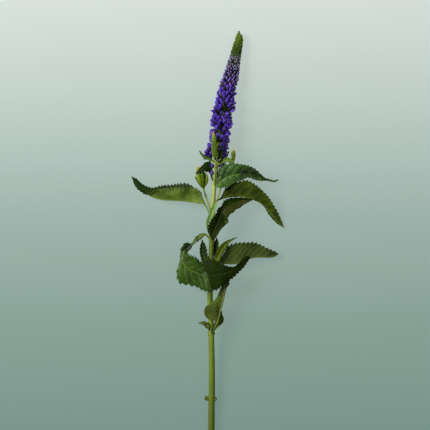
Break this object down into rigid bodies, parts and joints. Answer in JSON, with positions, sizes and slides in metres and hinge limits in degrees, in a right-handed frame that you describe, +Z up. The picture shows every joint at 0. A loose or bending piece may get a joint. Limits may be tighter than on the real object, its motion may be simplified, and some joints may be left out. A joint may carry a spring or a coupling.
{
  "type": "speedwell flower spike",
  "caption": "Cut flowering stem of a speedwell lying on its leaves: toothed leaves, green side spikes and a long violet flower spike.",
  "frame": {"origin": "on the surface that it lies on, under the middle of the spray's box", "axes": "+Y along the stem from the cut foot to the tip of the flowers, +Z up from the surface, +X to the right seen from above"},
  "size_m": [0.1075, 0.2875, 0.0237],
  "materials": {
    "stem": "green herbaceous stem, pale on top and darker at the sides, satin",
    "leaves": "dark green leaf with net veins and a soft gloss, olive underneath",
    "light_leaves": "young light green leaf, satin",
    "green_buds": "tight green buds, yellow green at the tips, matte",
    "violet_petals": "soft violet petals with a light sheen"
  },
  "bodies": {
    "root": {"stem": "stem", "left_leaf": "leaves", "right_upper_leaf": "leaves", "right_arching_leaf": "leaves", "right_back_leaf": "leaves", "lower_left_leaf": "leaves", "front_dark_leaf": "leaves", "lower_right_leaf": "leaves", "small_left_leaf": "leaves", "small_dark_leaf": "leaves", "base_leaf": "leaves", "base_small_leaf_left": "leaves", "base_small_leaf_right": "leaves", "left_toothed_leaf": "leaves", "left_bract": "leaves", "right_bract": "leaves", "front_bract": "leaves", "front_slim_leaf": "light_leaves", "small_light_leaf": "light_leaves", "curled_bract": "light_leaves", "front_side_spike": "green_buds", "right_side_spike": "green_buds", "left_side_spike": "green_buds", "green_tip_buds": "green_buds", "violet_florets": "violet_petals"}
  },
  "joints": []
}
